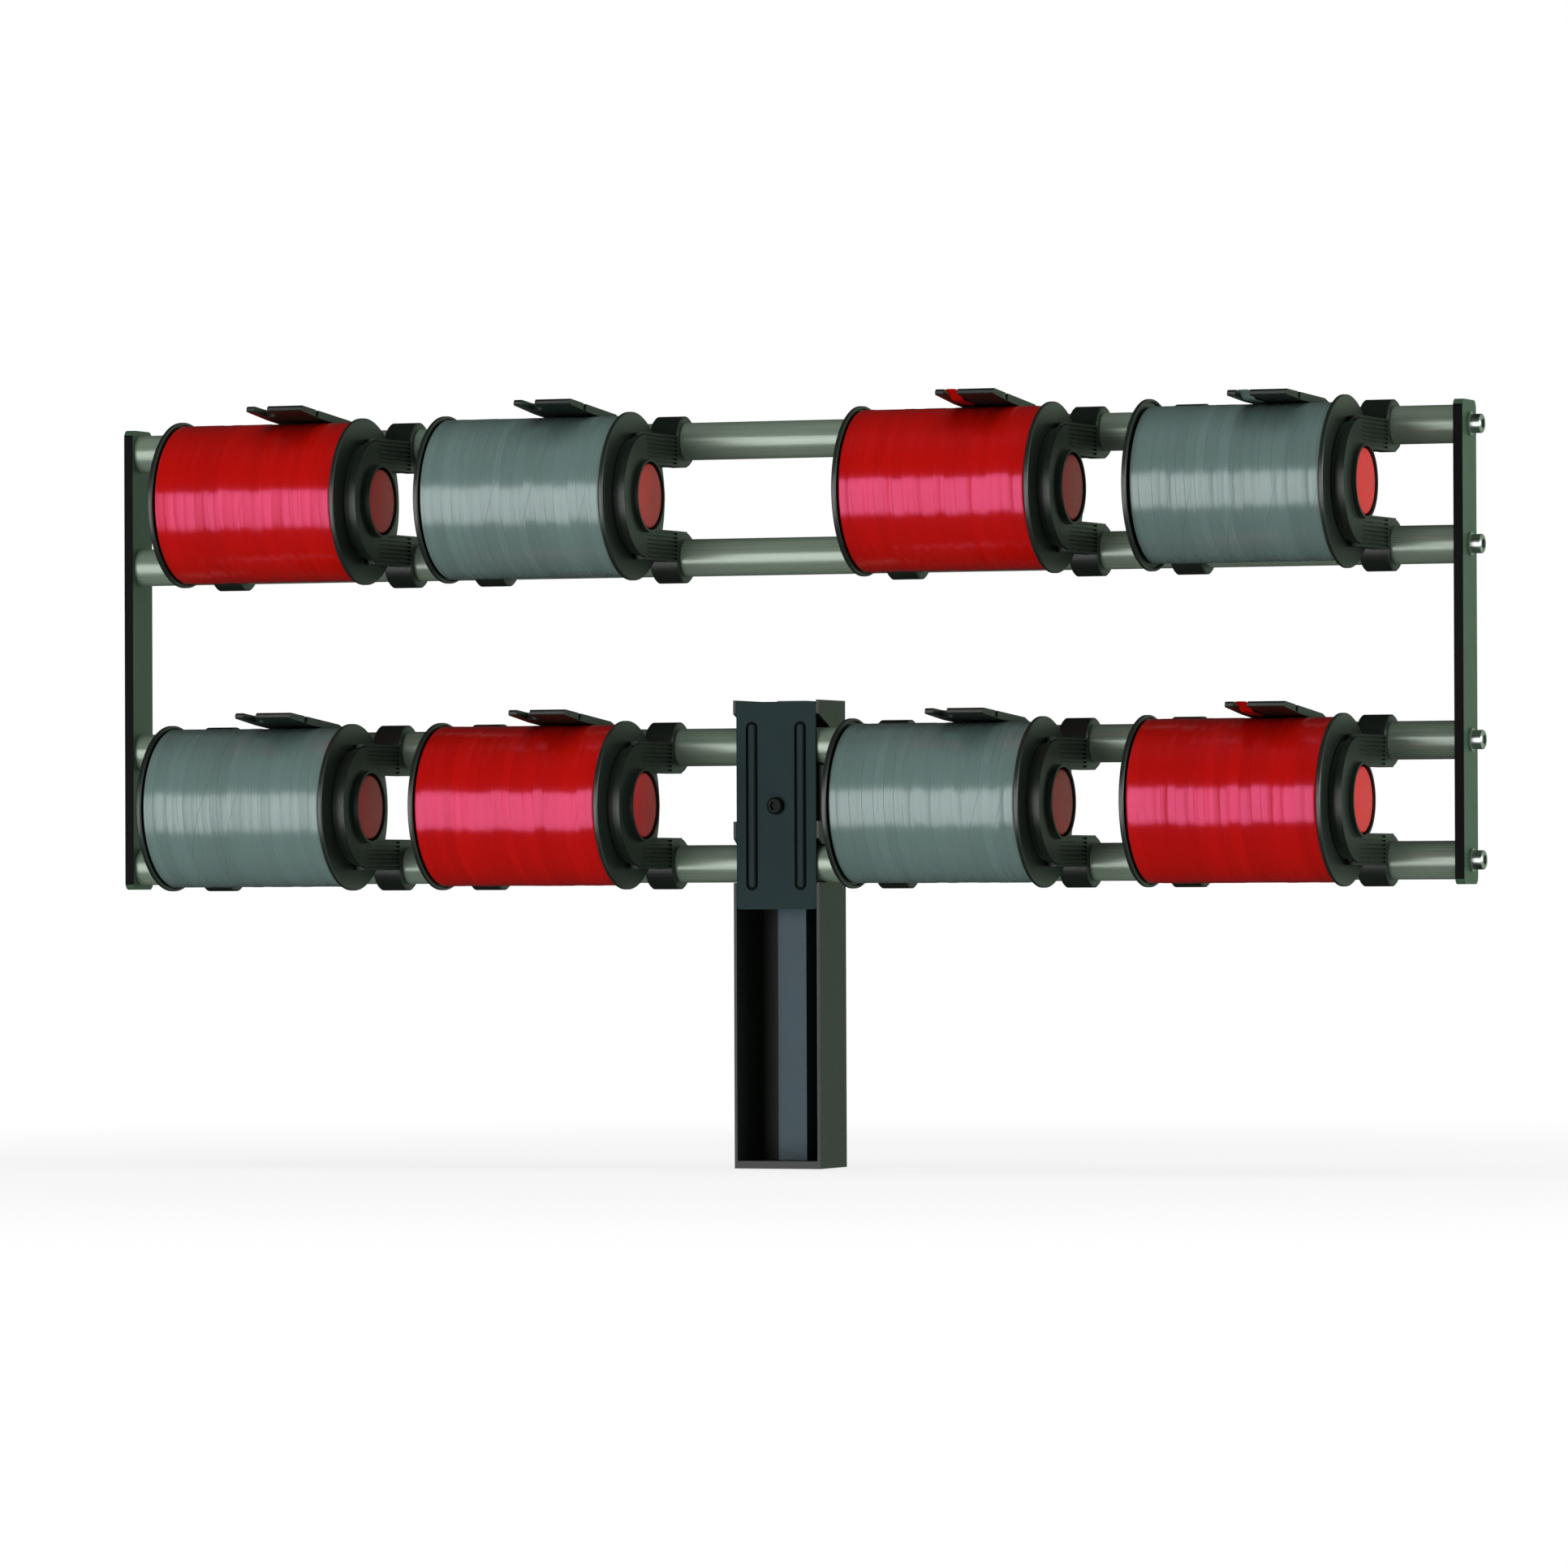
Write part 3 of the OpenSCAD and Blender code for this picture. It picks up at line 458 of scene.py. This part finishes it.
def grained(name, color, rough, spread=0.25, grain_scale=900.0, patch_scale=25.0, bump=0.15,
            depth=0.00004, **sockets):
    """A paint or plastic with fine grain: colour and roughness vary a little over the surface."""
    material, tree, bsdf = blank_material(name, **sockets)
    grain = place_group(tree, "grain", Grain_Scale=grain_scale, Patch_Scale=patch_scale)
    mix_colors(tree, grain, "Patches", scaled(color, 1 - spread), scaled(color, 1 + spread),
               bsdf, "Base Color")
    ramp_between(tree, grain, "Grain", rough * 0.85, rough * 1.15, bsdf, "Roughness", 0.3, 0.7)
    add_bump(tree, bsdf, grain, "Grain", bump, depth)
    return material


def paint_shade_along_y(material, start, end):
    """Painted shade: lets a paint go very dark and dull along Y, from start to end, where a face lies in
    shade.
    """
    tree = material.node_tree
    bsdf = tree.nodes["Principled BSDF"]
    paint = bsdf.inputs["Base Color"].links[0].from_node
    coords = tree.nodes.new("ShaderNodeTexCoord")
    split = add_node(tree, "ShaderNodeSeparateXYZ")
    join(tree, coords, "Object", split, "Vector")
    shade_mask = add_node(tree, "ShaderNodeMapRange", interpolation_type="SMOOTHSTEP")
    join(tree, split, "Y", shade_mask, "Value")
    shade_mask.inputs["From Min"].default_value = start
    shade_mask.inputs["From Max"].default_value = end
    # Painted shade: a very dark colour mixed over the paint by depth in Y
    painted_shade = tree.nodes.new("ShaderNodeMix")
    painted_shade.data_type = "RGBA"
    painted_shade.inputs["B"].default_value = (0.002, 0.002, 0.002, 1.0)
    join(tree, shade_mask, "Result", painted_shade, "Factor")
    join(tree, paint, "Result", painted_shade, "A")
    join(tree, painted_shade, "Result", bsdf, "Base Color")
    gloss = bsdf.inputs["Specular IOR Level"].default_value
    ramp_between(tree, shade_mask, "Result", gloss, 0.03, bsdf, "Specular IOR Level")


def drawn_metal(name, color, rough, metallic=1.0, **sockets):
    """Satin metal drawn along X."""
    material, tree, bsdf = blank_material(name, Metallic=metallic, **sockets)
    lines = place_group(tree, "drawn")
    mix_colors(tree, lines, "Lines", scaled(color, 0.9), scaled(color, 1.1), bsdf, "Base Color")
    ramp_between(tree, lines, "Lines", rough * 0.85, rough * 1.2, bsdf, "Roughness", 0.3, 0.7)
    add_bump(tree, bsdf, lines, "Lines", 0.12, 0.00003)
    return material


def wound_ribbon(name, color, sheen, gloss, rough, edge_weight):
    """Ribbon wound round X: thin dark edges, fine lines, and a highlight that steps from turn to turn."""
    material, tree, bsdf = blank_material(
        name, Specular_IOR_Level=gloss, Specular_Tint=(*sheen, 1.0))
    wraps = place_group(tree, "winding")
    base = tree.nodes.new("ShaderNodeMix")
    base.data_type = "RGBA"
    base.inputs["A"].default_value = (*scaled(color, 0.82), 1.0)
    base.inputs["B"].default_value = (*scaled(color, 1.18), 1.0)
    shade = math_node(tree, "MULTIPLY_ADD", (wraps, "Turn"), 0.4)
    streak = math_node(tree, "MULTIPLY", (wraps, "Fine"), 0.6)
    join(tree, streak, "Value", shade, 2)
    join(tree, shade, "Value", base, "Factor")
    edges = tree.nodes.new("ShaderNodeMix")
    edges.data_type = "RGBA"
    edges.inputs["B"].default_value = (*scaled(color, 0.3), 1.0)
    tree.links.new(base.outputs["Result"], edges.inputs["A"])
    weight = math_node(tree, "MULTIPLY", (wraps, "Edges"), edge_weight)
    join(tree, weight, "Value", edges, "Factor")
    tree.links.new(edges.outputs["Result"], bsdf.inputs["Base Color"])
    ramp_between(tree, wraps, "Fine", rough * 0.7, rough * 1.4, bsdf, "Roughness", 0.3, 0.7)
    bump = add_node(tree, "ShaderNodeBump", Strength=0.5, Distance=0.00008)
    height = math_node(tree, "SUBTRACT", (wraps, "Fine"), (wraps, "Edges"))
    join(tree, height, "Value", bump, "Height")
    lean = tree.nodes.new("ShaderNodeGroup")
    lean.node_tree = shader_group("lean")
    join(tree, bump, "Normal", lean, "Vector")
    join(tree, wraps, "Lean", lean, "Amount")
    join(tree, lean, "Normal", bsdf, "Normal")
    return material


def dress(names, material):
    """Gives CAD nodes a material."""
    for name in names:
        node = NODES[name]
        node.data.materials.clear()
        node.data.materials.append(material)
        for face in node.data.polygons:
            face.material_index = 0


# ---------------------------------------------------------------- modelling


def trace(name, points):
    """Starts a piece in edit mode: one vertex extruded from point to point."""
    bpy.ops.object.select_all(action="DESELECT")
    bpy.ops.mesh.primitive_plane_add(size=MM, location=(0, 0, 0))
    bpy.context.object.name = name
    bpy.context.object.data.name = name
    bpy.ops.object.mode_set(mode="EDIT")
    bpy.ops.mesh.select_all(action="SELECT")
    bpy.ops.mesh.merge(type="CENTER")
    bpy.ops.transform.translate(value=points[0])
    for before, after in zip(points, points[1:]):
        bpy.ops.mesh.extrude_vertices_move(TRANSFORM_OT_translate={"value": after - before})
    return bpy.context.object


def close_piece(piece, material, body, slot, *nodes):
    """Ends edit mode, gives the piece its shading, material and body, and hides the CAD nodes it stands in
    for; the slot is not used.
    """
    bpy.ops.mesh.select_all(action="SELECT")
    bpy.ops.mesh.remove_doubles(threshold=WELD)
    bpy.ops.mesh.normals_make_consistent(inside=False)
    bpy.ops.object.mode_set(mode="OBJECT")
    bpy.ops.object.shade_smooth_by_angle(angle=math.radians(50))
    piece.data.materials.append(material)
    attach(piece, body)
    if nodes:
        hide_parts(*nodes)


def pack_profile(s, low, high, i):
    """Outline of half a wound pack, from the core out, along the turns and back to the core."""
    centre = (low + high) / 2
    radius = (high.z - low.z) / 2
    width = (high.x - low.x) / s.turns
    lip = 0.12 * width

    def at(x, r):
        return Vector((x, centre.y, centre.z + r))

    def drop(k):
        return s.unevenness * (0.5 + 0.5 * math.sin(2.4 * k * k + 1.7 * i))

    line = [at(low.x, s.core_radius), at(low.x, radius - s.corner)]
    line += [at(low.x + s.corner * (1 - math.cos(a)), radius - s.corner * (1 - math.sin(a)))
             for a in CORNER_ANGLES]
    for k in range(s.turns):
        start, end = low.x + k * width, low.x + (k + 1) * width
        start = max(start, low.x + s.corner)
        end = min(end, high.x - s.corner)
        line += [at(start, radius - drop(k) - s.unevenness / 2), at(start + lip, radius - drop(k)),
                 at(end - lip, radius - drop(k))]
    line += [at(high.x - s.corner * (1 - math.cos(a)), radius - s.corner * (1 - math.sin(a)))
             for a in reversed(CORNER_ANGLES)]
    line += [at(high.x, radius - s.corner), at(high.x, s.core_radius), at(low.x, s.core_radius)]
    return centre, line


def wind_pack(s, i, material, slot):
    """The wound ribbon of one unit, turned round its spool's axis."""
    centre, line = pack_profile(s, *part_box(unit_name("ribbon", i)), i)
    pack = trace(unit_name("wound_ribbon", i), line)
    bpy.ops.mesh.select_all(action="SELECT")
    bpy.ops.mesh.remove_doubles(threshold=WELD)
    bpy.ops.mesh.spin(steps=s.segments, angle=2 * math.pi, center=centre, axis=(1, 0, 0))
    close_piece(pack, material, unit_name("roll", i), slot, unit_name("ribbon", i))
    return pack


# Path of a loose end: distance from the hinge along the arm, and height over the arm's underside,
# in mm; the heights lean forward by the arm's slope
END_PATH = ((40, -0.18), (47, -0.18), (54, -0.2), (58, -0.25), (60.5, -0.1), (62.5, 0.5), (64.5, 1.3),
            (66.5, 2.2), (68.5, 3.0), (70.5, 3.7), (72, 4.1))


def lay_end(s, cutter, i, material, slot):
    """A cut ribbon end that comes out under the blade and lies in the slot of the cutter arm."""
    low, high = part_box(unit_name("ribbon", i))
    centre = (low + high) / 2
    spool_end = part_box(unit_name("spool", i))[1].x
    radius = (high.z - low.z) / 2
    reach = math.hypot(cutter.hinge_back, cutter.hinge_up)
    slope = math.atan2(cutter.hinge_back, cutter.hinge_up) - math.acos(
        (radius + cutter.rest_gap - cutter.underside) / reach)
    left = spool_end + cutter.slot_place + (cutter.slot_width - s.end_width) / 2
    line = []
    for distance, height in END_PATH:
        d, h = distance * MM, cutter.underside + height * MM
        y = centre.y + cutter.hinge_back - d * math.cos(slope) - h * math.sin(slope)
        z = centre.z + cutter.hinge_up + d * math.sin(slope) + h * math.cos(slope)
        line.append(Vector((left, y, z)))
    end = trace(unit_name("ribbon_end", i), line)
    bpy.ops.mesh.select_all(action="SELECT")
    bpy.ops.mesh.extrude_edges_move(TRANSFORM_OT_translate={"value": (s.end_width, 0, 0)})
    bpy.ops.object.mode_set(mode="OBJECT")
    bpy.ops.object.modifier_add(type="SOLIDIFY")
    end.modifiers[-1].thickness = s.end_thickness
    end.modifiers[-1].offset = 0.0
    bpy.ops.object.modifier_add(type="SUBSURF")
    end.modifiers[-1].levels = 2
    for modifier in [m.name for m in end.modifiers]:
        bpy.ops.object.modifier_apply(modifier=modifier)
    bpy.ops.object.mode_set(mode="EDIT")
    close_piece(end, material, unit_name("cutter", i), slot)
    return end


# ---------------------------------------------------------------- operators


class RACK_OT_metal(bpy.types.Operator):
    """Give the tubes, plates, post, rail and screws their metal and paint"""

    bl_idname = "rack.metal"
    bl_label = "Metal and Paint"

    def execute(self, context):
        s = context.scene.rack_metal
        dress([unit_name("tube", n) for n in range(1, 5)],
              drawn_metal("satin_tube", s.tube, 0.3, metallic=0.25, Specular_IOR_Level=0.75))
        plate = grained("plate_paint", s.plate, 0.4, grain_scale=PAINT_GRAIN, Specular_IOR_Level=0.25)
        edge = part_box("end_plate_left")[0].y
        # Painted shade: the end plates' front faces go very dark and dull, fading out 0.1 to 0.4 mm behind
        # the front
        paint_shade_along_y(plate, edge + 0.4 * MM, edge + 0.1 * MM)
        dress(["end_plate_left", "end_plate_right"], plate)
        dress(["post"], grained("post_paint", s.post, 0.42, grain_scale=PAINT_GRAIN, Specular_IOR_Level=0.28))
        clamp = grained("clamp_paint", s.clamp, 0.5, grain_scale=PAINT_GRAIN, Specular_IOR_Level=0.05)
        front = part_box("post")[0].y
        # Painted shade: the clamp plate goes very dark and dull where it lies deeper than the post's front,
        # in the channels round its beads
        paint_shade_along_y(clamp, front + 0.1 * MM, front + 0.5 * MM)
        dress(["clamp_plate"], clamp)
        dress(["post_rail"], grained("rail_paint", s.rail, 0.45, grain_scale=PAINT_GRAIN,
                                     Specular_IOR_Level=0.2))
        dress(["clamp_screw"], grained("black_screw", (0.003, 0.004, 0.004), 0.4, Specular_IOR_Level=0.06))
        dress(["end_screws"], grained("zinc_screw", (0.34, 0.36, 0.35), 0.32, Metallic=1.0))
        dress(["tube_plugs"], grained("plug_plastic", (0.01, 0.01, 0.01), 0.5, Specular_IOR_Level=0.2))
        blades = [unit_name("cutter_blade", i) for i in UNITS]
        dress(blades, grained("ground_steel", (0.5, 0.52, 0.51), 0.25, Metallic=1.0))
        return {"FINISHED"}


class RACK_OT_plastic(bpy.types.Operator):
    """Give the holders, cutter arms, spools and buttons their moulded plastic"""

    bl_idname = "rack.plastic"
    bl_label = "Moulded Plastic"

    def execute(self, context):
        s = context.scene.rack_plastic
        dress([unit_name("holder", i) for i in UNITS],
              grained("holder_plastic", s.holder, 0.42, patch_scale=60.0, Specular_IOR_Level=0.42))
        dress([unit_name("cutter_arm", i) for i in UNITS],
              grained("arm_plastic", s.holder, 0.36, patch_scale=60.0, Specular_IOR_Level=0.25))
        dress([unit_name("spool", i) for i in UNITS],
              grained("spool_plastic", s.spool, 0.36, patch_scale=40.0, Specular_IOR_Level=0.45))
        dress([unit_name("button", i) for i in UNITS],
              grained("button_plastic", s.button, 0.45, spread=0.08, patch_scale=120.0,
                      Specular_IOR_Level=0.4))
        return {"FINISHED"}


class RACK_OT_ribbon(bpy.types.Operator):
    """Wind the ribbon packs and lay the loose ends in their cutter arms"""

    bl_idname = "rack.ribbon"
    bl_label = "Wound Ribbon"

    def execute(self, context):
        s = context.scene.rack_ribbon
        red = wound_ribbon("ribbon_red", s.red, s.red_sheen, 0.85, 0.16, 0.35)
        grey = wound_ribbon("ribbon_grey", s.grey, s.grey_sheen, 0.62, 0.22, 0.75)
        for i in UNITS:
            finish = (red, "ribbon_red") if i in RED_UNITS else (grey, "ribbon_grey")
            wind_pack(s, i, *finish)
            if i in LOOSE_ENDS:
                lay_end(s, context.scene.rack_cutter, i, *finish)
        return {"FINISHED"}


class RACK_OT_stage(bpy.types.Operator):
    """Set up the camera, the pale floor and the soft light"""

    bl_idname = "rack.stage"
    bl_label = "Stage"

    def execute(self, context):
        s = context.scene.rack_stage
        aim = (CAD_BOX[0] + CAD_BOX[1]) / 2
        self.add_camera(context, s)
        self.add_floor()
        self.add_light("key_light", s.key_power, (-0.85, -2.35, -0.08), (1.7, 2.2), aim, True)
        self.add_light("side_light", s.side_power, (3.0, -0.5, 0.5), (1.4, 1.2), aim, True)
        self.add_light("top_light", s.top_power, (0.2, -0.5, 2.4), (2.2, 1.4), aim, False)
        self.add_light("back_light", s.back_power, (-0.8, 2.8, 0.9), (2.0, 1.4), aim, False)
        self.set_world(context.scene, s)
        context.scene.view_settings.view_transform = "Standard"
        return {"FINISHED"}

    def add_camera(self, context, s):
        """The photograph's camera, placed by where it stands and its yaw, pitch and roll."""
        data = bpy.data.cameras.new("camera")
        camera = bpy.data.objects.new("camera", data)
        context.scene.collection.objects.link(camera)
        data.sensor_width = 36.0
        data.lens = s.lens
        data.clip_end = 50.0
        ahead = Vector((-math.sin(s.camera_yaw) * math.cos(s.camera_pitch),
                        math.cos(s.camera_yaw) * math.cos(s.camera_pitch), math.sin(s.camera_pitch)))
        level = ahead.to_track_quat("-Z", "Y")
        camera.rotation_mode = "QUATERNION"
        camera.rotation_quaternion = Quaternion(-ahead, s.camera_roll) @ level
        camera.location = s.camera_place
        context.scene.camera = camera

    def add_floor(self):
        """A wide pale floor under the post; the key light reaches below it, so it casts no shadow."""
        bpy.ops.object.select_all(action="DESELECT")
        bpy.ops.mesh.primitive_plane_add(size=30.0, location=(0, 0, CAD_BOX[0].z - 0.0005))
        floor = bpy.context.object
        floor.name = "floor"
        bpy.ops.object.transform_apply(location=True, rotation=True, scale=True)
        floor.visible_shadow = False
        floor.visible_glossy = False
        floor.data.materials.append(self.pale("floor_paint"))

    def pale(self, name):
        """White paint that the camera sees fade to plain white away from the rack."""
        material, tree, bsdf = blank_material(name, Roughness=0.9, Specular_IOR_Level=0.1)
        bsdf.inputs["Base Color"].default_value = (0.86, 0.86, 0.86, 1.0)
        coords = tree.nodes.new("ShaderNodeTexCoord")
        away = add_node(tree, "ShaderNodeVectorMath", operation="LENGTH")
        join(tree, coords, "Object", away, "Vector")
        fade = add_node(tree, "ShaderNodeMapRange", interpolation_type="SMOOTHSTEP")
        join(tree, away, "Value", fade, "Value")
        fade.inputs["From Min"].default_value = 0.3
        fade.inputs["From Max"].default_value = 1.2
        fade.inputs["To Min"].default_value = 0.8
        path = tree.nodes.new("ShaderNodeLightPath")
        share = math_node(tree, "MULTIPLY", (fade, "Result"), (path, "Is Camera Ray"))
        white = add_node(tree, "ShaderNodeEmission")
        mix = tree.nodes.new("ShaderNodeMixShader")
        join(tree, share, "Value", mix, 0)
        join(tree, bsdf, "BSDF", mix, 1)
        join(tree, white, "Emission", mix, 2)
        join(tree, mix, "Shader", tree.nodes["Material Output"], "Surface")
        return material

    def add_light(self, name, power, place, size, aim, mirrored):
        """A soft rectangular light; only a mirrored one shows in glossy surfaces."""
        data = bpy.data.lights.new(name, "AREA")
        data.shape = "RECTANGLE"
        data.size, data.size_y = size
        data.energy = power
        light = bpy.data.objects.new(name, data)
        bpy.context.scene.collection.objects.link(light)
        light.location = place
        light.rotation_mode = "QUATERNION"
        light.rotation_quaternion = (aim - Vector(place)).to_track_quat("-Z", "Y")
        light.visible_camera = False
        light.visible_glossy = mirrored

    def set_world(self, scene, s):
        """White to the camera, a pale right side and a dark rest to reflections, and an even fill."""
        world = bpy.data.worlds.new("studio")
        scene.world = world
        world.use_nodes = True
        world.cycles.sampling_method = "NONE"
        tree = world.node_tree
        path = tree.nodes.new("ShaderNodeLightPath")
        coords = tree.nodes.new("ShaderNodeTexCoord")
        way = tree.nodes.new("ShaderNodeSeparateXYZ")
        join(tree, coords, "Generated", way, "Vector")
        right = add_node(tree, "ShaderNodeMapRange", interpolation_type="SMOOTHSTEP")
        join(tree, way, "X", right, "Value")
        right.inputs["From Min"].default_value = 0.05
        right.inputs["From Max"].default_value = 0.3
        fill = (s.fill, s.fill, s.fill)
        room = self.blend(tree, (right, "Result"), s.room_front, s.room_right)
        color = self.blend(tree, (path, "Is Glossy Ray"), fill, room)
        color = self.blend(tree, (path, "Is Camera Ray"), color, (1.0, 1.0, 1.0))
        join(tree, color, "Result", tree.nodes["Background"], "Color")

    def blend(self, tree, factor, a, b):
        """A colour mix whose sides are colours or other mixes."""
        mix = tree.nodes.new("ShaderNodeMix")
        mix.data_type = "RGBA"
        tree.links.new(factor[0].outputs[factor[1]], mix.inputs["Factor"])
        for socket, side in (("A", a), ("B", b)):
            if isinstance(side, bpy.types.Node):
                tree.links.new(side.outputs["Result"], mix.inputs[socket])
            else:
                mix.inputs[socket].default_value = (*side, 1.0)
        return mix


class RACK_PT_panel(bpy.types.Panel):
    """Lists the rack's sizes, colours and steps"""

    bl_idname = "RACK_PT_panel"
    bl_label = "Ribbon Rack"
    bl_space_type = "VIEW_3D"
    bl_region_type = "UI"
    bl_category = "Ribbon Rack"

    def draw(self, context):
        for key, group in SETTINGS.items():
            box = self.layout.box()
            for prop in group.__annotations__:
                box.prop(getattr(context.scene, key), prop)
        for operator in STEPS:
            self.layout.operator(operator.bl_idname)


STEPS = (RACK_OT_metal, RACK_OT_plastic, RACK_OT_ribbon, RACK_OT_stage)
CLASSES = (*SETTINGS.values(), *STEPS, RACK_PT_panel)


def register():
    for cls in CLASSES:
        bpy.utils.register_class(cls)
    for key, group in SETTINGS.items():
        setattr(bpy.types.Scene, key, PointerProperty(type=group))


def unregister():
    for key in SETTINGS:
        delattr(bpy.types.Scene, key)
    for cls in reversed(CLASSES):
        bpy.utils.unregister_class(cls)


def main():
    register()
    bpy.ops.rack.metal()
    bpy.ops.rack.plastic()
    bpy.ops.rack.ribbon()
    bpy.ops.rack.stage()


if __name__ == "__main__":
    main()
